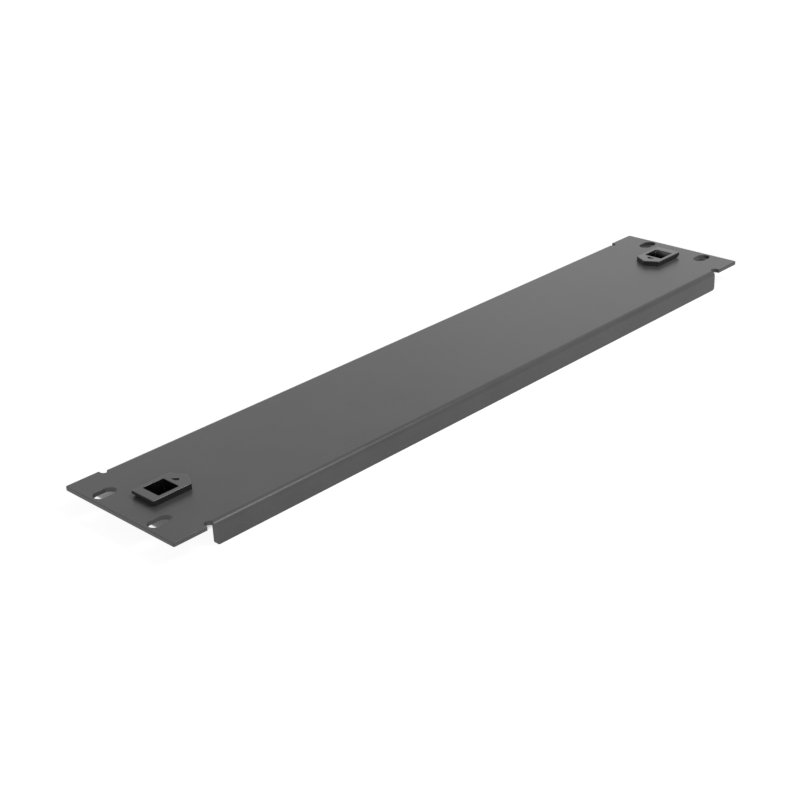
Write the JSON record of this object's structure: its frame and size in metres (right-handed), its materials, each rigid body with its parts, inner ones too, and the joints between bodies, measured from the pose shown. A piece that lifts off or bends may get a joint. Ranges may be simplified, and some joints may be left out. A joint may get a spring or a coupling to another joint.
{
  "type": "rack blanking panel",
  "caption": "Folded steel panel that closes unused height in a 19 inch rack, with slotted ears and a sliding plastic latch at each end.",
  "frame": {"origin": "middle of the four screw slots, on the plane of the ears' backs, where the panel meets the rack's rails", "axes": "+X along the panel's length, +Y up the rack, +Z out of the panel's front"},
  "size_m": [0.4826, 0.0882, 0.0163],
  "materials": {
    "powder_coat": "dark grey powder coat, fine satin texture",
    "latch_plastic": "black moulded plastic, satin"
  },
  "bodies": {
    "panel": {"panel": "powder_coat"},
    "latch_left": {"latch_left": "latch_plastic"},
    "latch_right": {"latch_right": "latch_plastic"}
  },
  "joints": [
    {"name": "latch_left_slide", "type": "slide", "parent": "panel", "child": "latch_left", "axis": [1, 0, 0], "range_m": [0, 0.005]},
    {"name": "latch_right_slide", "type": "slide", "parent": "panel", "child": "latch_right", "axis": [-1, 0, 0], "range_m": [0, 0.005]}
  ]
}
